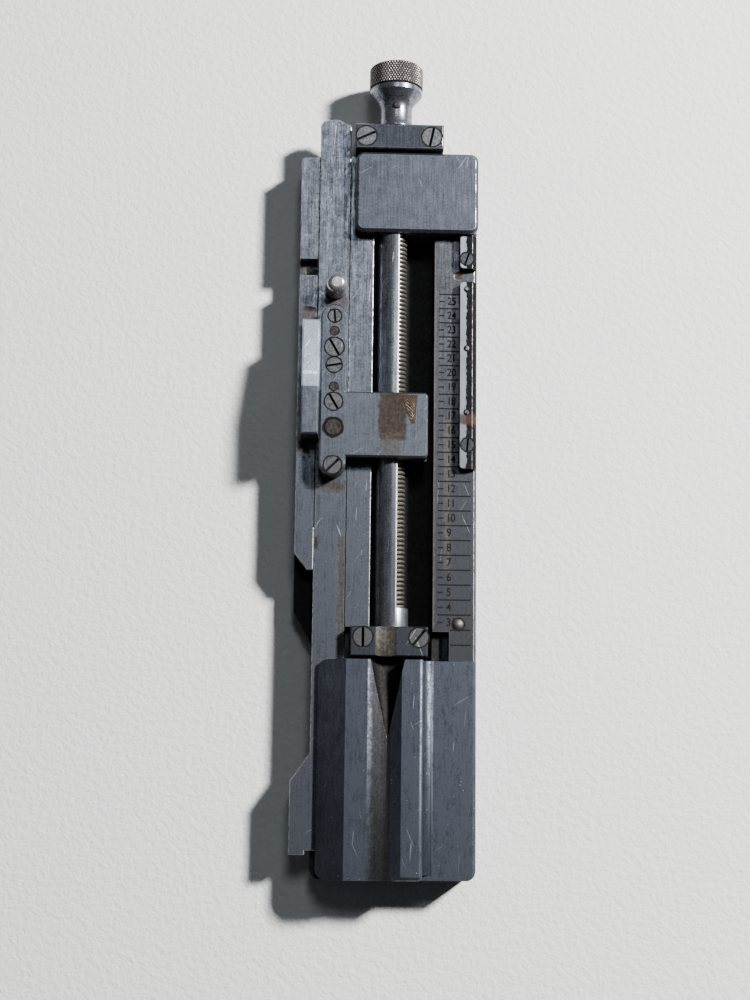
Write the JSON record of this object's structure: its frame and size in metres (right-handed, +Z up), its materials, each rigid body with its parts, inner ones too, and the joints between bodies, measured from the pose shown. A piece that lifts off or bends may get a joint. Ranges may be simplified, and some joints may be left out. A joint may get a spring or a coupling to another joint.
{
  "type": "screw-set line gauge",
  "caption": "Flat steel hand gauge with a knurled-knob lead screw, a sliding jaw carriage, a hand-slid stop bar and a graduated edge",
  "frame": {"origin": "middle of the underside's bounding box", "axes": "+Y along the lead screw toward its knob, +X to the right as the knob points away from the user, +Z up from the underside"},
  "size_m": [0.0514, 0.2346, 0.0215],
  "materials": {
    "satin_steel": "fine-ground, oily, lightly scratched",
    "blued_steel": "dull blued, worn bright at the edges",
    "black_steel": "chipped black",
    "screw_steel": "turned, dirty slots",
    "bright_steel": "polished by use",
    "bronze": "dull, oily"
  },
  "bodies": {
    "bed": {"base_frame": "blued_steel", "channel_rail": "satin_steel", "lower_edge_strip": "satin_steel", "upper_edge_strip": "satin_steel", "scale_plate": "satin_steel", "scale_rivet": "satin_steel", "scale_locating_pin": "bronze", "long_stop_bar": "black_steel", "short_stop_bar": "black_steel", "stop_bar_pins": "black_steel", "stop_bar_screws": "black_steel", "foot_bracket": "blued_steel", "foot_bracket_screws": "screw_steel", "end_bracket": "blued_steel", "end_bracket_screws": "screw_steel", "head_block": "blued_steel", "guide_tube": "bright_steel", "foot_bush": "bronze", "end_bush": "bronze", "rail_screws": "screw_steel", "scale_plate_screws": "screw_steel", "edge_strip_screws": "screw_steel", "head_block_screws": "screw_steel"},
    "spindle": {"lead_screw": "bright_steel", "knob": "bright_steel", "knob_pin": "satin_steel", "thrust_collar": "satin_steel", "collar_pin": "satin_steel"},
    "hand_bar": {"slide_bar": "satin_steel", "stop_stud": "bright_steel"},
    "carriage": {"carriage_block": "satin_steel", "jaw": "bright_steel", "boss_screws": "screw_steel", "boss_dowels": "satin_steel", "release_spring": "satin_steel"},
    "button": {"release_button": "satin_steel"},
    "nut_slide": {"release_slide": "bronze"}
  },
  "joints": [
    {"name": "screw_turn", "type": "hinge", "parent": "bed", "child": "spindle", "pos_m": [0.00175, 0, 0.0108], "axis": [0, 1, 0], "range_deg": [-360, 13320]},
    {"name": "carriage_slide", "type": "slide", "parent": "bed", "child": "carriage", "axis": [0, 1, 0], "range_m": [-0.04699, 0.00127]},
    {"name": "bar_slide", "type": "slide", "parent": "bed", "child": "hand_bar", "axis": [0, 1, 0], "range_m": [-0.0012, 0.048]},
    {"name": "button_press", "type": "slide", "parent": "carriage", "child": "button", "axis": [0, 0, -1], "range_m": [0, 0.0009], "stiffness_N_per_m": 400, "springref_m": -0.002},
    {"name": "nut_release", "type": "slide", "parent": "carriage", "child": "nut_slide", "axis": [1, 0, 0], "range_m": [0, 0.0009], "deforming": ["release_spring"]}
  ],
  "couplings": [
    {"joint": "screw_turn", "follows": "carriage_slide", "rad_per_m": -4947.4},
    {"joint": "nut_release", "follows": "button_press", "ratio": 1}
  ]
}
